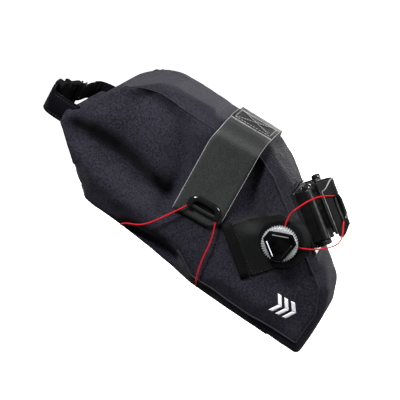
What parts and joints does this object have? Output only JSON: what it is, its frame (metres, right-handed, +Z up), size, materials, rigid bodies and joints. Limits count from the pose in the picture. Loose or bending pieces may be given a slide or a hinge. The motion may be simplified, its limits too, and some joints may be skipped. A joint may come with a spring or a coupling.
{
  "type": "saddle bag",
  "caption": "Roll-top saddle bag with padded side panels, folding wing straps, lace winding dials, a seatpost cradle with wrap strap, and a side-release buckle at its rolled mouth.",
  "frame": {"origin": "centre of the seatpost clamp, on the seatpost's axis", "axes": "+X forward along the bicycle, +Y to the rider's left, +Z up; the seatpost leans 17 degrees back from +Z"},
  "size_m": [0.2813, 0.1264, 0.2649],
  "materials": {
    "heather_fabric": "matte padded weave",
    "coated_fabric": "matte coated weave",
    "piping": "matte woven edge",
    "board": "matte sheet",
    "gloss_black": "gloss moulded",
    "knob_grey": "satin moulded, knurled",
    "matte_black": "satin moulded",
    "spool_metal": "turned",
    "steel": "turned",
    "cushion": "soft moulded",
    "hook_pile": "rough pile",
    "webbing": "ribbed webbing",
    "lace": "braided",
    "reflective": "printed film"
  },
  "bodies": {
    "bag": {"side_panel_right": "heather_fabric", "side_panel_left": "heather_fabric", "bottom_panel": "heather_fabric", "nose_gusset": "heather_fabric", "front_gusset": "heather_fabric", "top_gusset": "heather_fabric", "mouth_panel": "heather_fabric", "rear_panel": "heather_fabric", "rolled_mouth": "heather_fabric", "right_closure_tab": "heather_fabric", "left_closure_tab": "heather_fabric", "dial_patch_tape": "heather_fabric", "bottom_guard": "coated_fabric", "wing_anchor_patch": "coated_fabric", "dial_patch": "coated_fabric", "seam_piping_right": "piping", "seam_piping_left": "piping", "stiffener_board": "board", "roll_top_caps": "gloss_black", "front_housing": "matte_black", "buckle_socket": "matte_black", "roll_foot_caps": "matte_black", "pad_backing": "matte_black", "seatpost_pad": "cushion", "cushion_roll_right": "cushion", "cushion_roll_left": "cushion", "hook_and_loop_patch": "hook_pile", "closure_webbing": "webbing", "front_lace": "lace", "rail_lace": "lace", "reflective_mark": "reflective"},
    "strap": {"seatpost_strap": "coated_fabric", "strap_lace_guide": "gloss_black"},
    "front_spool": {"front_spool": "spool_metal"},
    "front_axle": {"front_axle": "steel"},
    "front_knob": {"front_knob": "knob_grey", "front_cap": "gloss_black"},
    "right_wing": {"right_wing": "coated_fabric", "wing_lace_guide": "gloss_black"},
    "left_wing": {"left_wing": "coated_fabric", "rail_housing": "matte_black"},
    "rail_spool": {"rail_spool": "spool_metal"},
    "rail_axle": {"rail_axle": "steel"},
    "rail_knob": {"rail_knob": "knob_grey", "rail_cap": "gloss_black"},
    "buckle_plug": {"buckle_plug": "matte_black"},
    "upper_prong": {"buckle_prong_upper": "matte_black"},
    "lower_prong": {"buckle_prong_lower": "matte_black"}
  },
  "joints": [
    {"name": "strap_open", "type": "hinge", "parent": "bag", "child": "strap", "pos_m": [-0.00382, 0.015, -0.00117], "axis": [-0.2924, 0, 0.9563], "range_deg": [0, 50], "deforming": ["front_lace"]},
    {"name": "front_spool_turn", "type": "hinge", "parent": "bag", "child": "front_spool", "pos_m": [-0.03615, -0.04669, -0.01756], "axis": [0.0618, -0.9972, -0.0409], "range_deg": [0, 320]},
    {"name": "front_knob_pull", "type": "slide", "parent": "bag", "child": "front_axle", "axis": [0.0618, -0.9972, -0.0409], "range_m": [0, 0.0025]},
    {"name": "front_knob_turn", "type": "hinge", "parent": "front_axle", "child": "front_knob", "pos_m": [-0.03591, -0.05068, -0.01772], "axis": [0.0618, -0.9972, -0.0409], "range_deg": [0, 320]},
    {"name": "right_wing_lift", "type": "hinge", "parent": "bag", "child": "right_wing", "pos_m": [-0.06127, -0.04985, 0.08744], "axis": [-0.8316, -0.0741, 0.5504], "range_deg": [0, 40], "deforming": ["rail_lace"]},
    {"name": "left_wing_lift", "type": "hinge", "parent": "bag", "child": "left_wing", "pos_m": [-0.06127, 0.04985, 0.08744], "axis": [0.8316, -0.0741, -0.5504], "range_deg": [0, 40]},
    {"name": "rail_spool_turn", "type": "hinge", "parent": "left_wing", "child": "rail_spool", "pos_m": [-0.10254, 0.05339, 0.02098], "axis": [0.0618, 0.9972, -0.0409], "range_deg": [0, 320]},
    {"name": "rail_knob_pull", "type": "slide", "parent": "left_wing", "child": "rail_axle", "axis": [0.0618, 0.9972, -0.0409], "range_m": [0, 0.0025]},
    {"name": "rail_knob_turn", "type": "hinge", "parent": "rail_axle", "child": "rail_knob", "pos_m": [-0.10229, 0.05738, 0.02082], "axis": [0.0618, 0.9972, -0.0409], "range_deg": [0, 320]},
    {"name": "buckle_release", "type": "slide", "parent": "bag", "child": "buckle_plug", "axis": [0.2487, 0.9545, -0.1646], "range_m": [0, 0.014], "deforming": ["closure_webbing"]},
    {"name": "upper_prong_flex", "type": "hinge", "parent": "buckle_plug", "child": "upper_prong", "pos_m": [-0.23877, -0.00186, 0.12806], "axis": [0.7959, -0.2983, -0.5268], "range_deg": [0, 8], "stiffness_Nm_per_rad": 0.05},
    {"name": "lower_prong_flex", "type": "hinge", "parent": "buckle_plug", "child": "lower_prong", "pos_m": [-0.2455, -0.00186, 0.11789], "axis": [-0.7959, 0.2983, 0.5268], "range_deg": [0, 8], "stiffness_Nm_per_rad": 0.05}
  ],
  "couplings": [
    {"joint": "front_spool_turn", "follows": "strap_open", "ratio": 6},
    {"joint": "front_knob_turn", "follows": "strap_open", "ratio": 6},
    {"joint": "left_wing_lift", "follows": "right_wing_lift", "ratio": 1},
    {"joint": "rail_spool_turn", "follows": "right_wing_lift", "ratio": 6},
    {"joint": "rail_knob_turn", "follows": "right_wing_lift", "ratio": 6},
    {"joint": "lower_prong_flex", "follows": "upper_prong_flex", "ratio": 1}
  ]
}
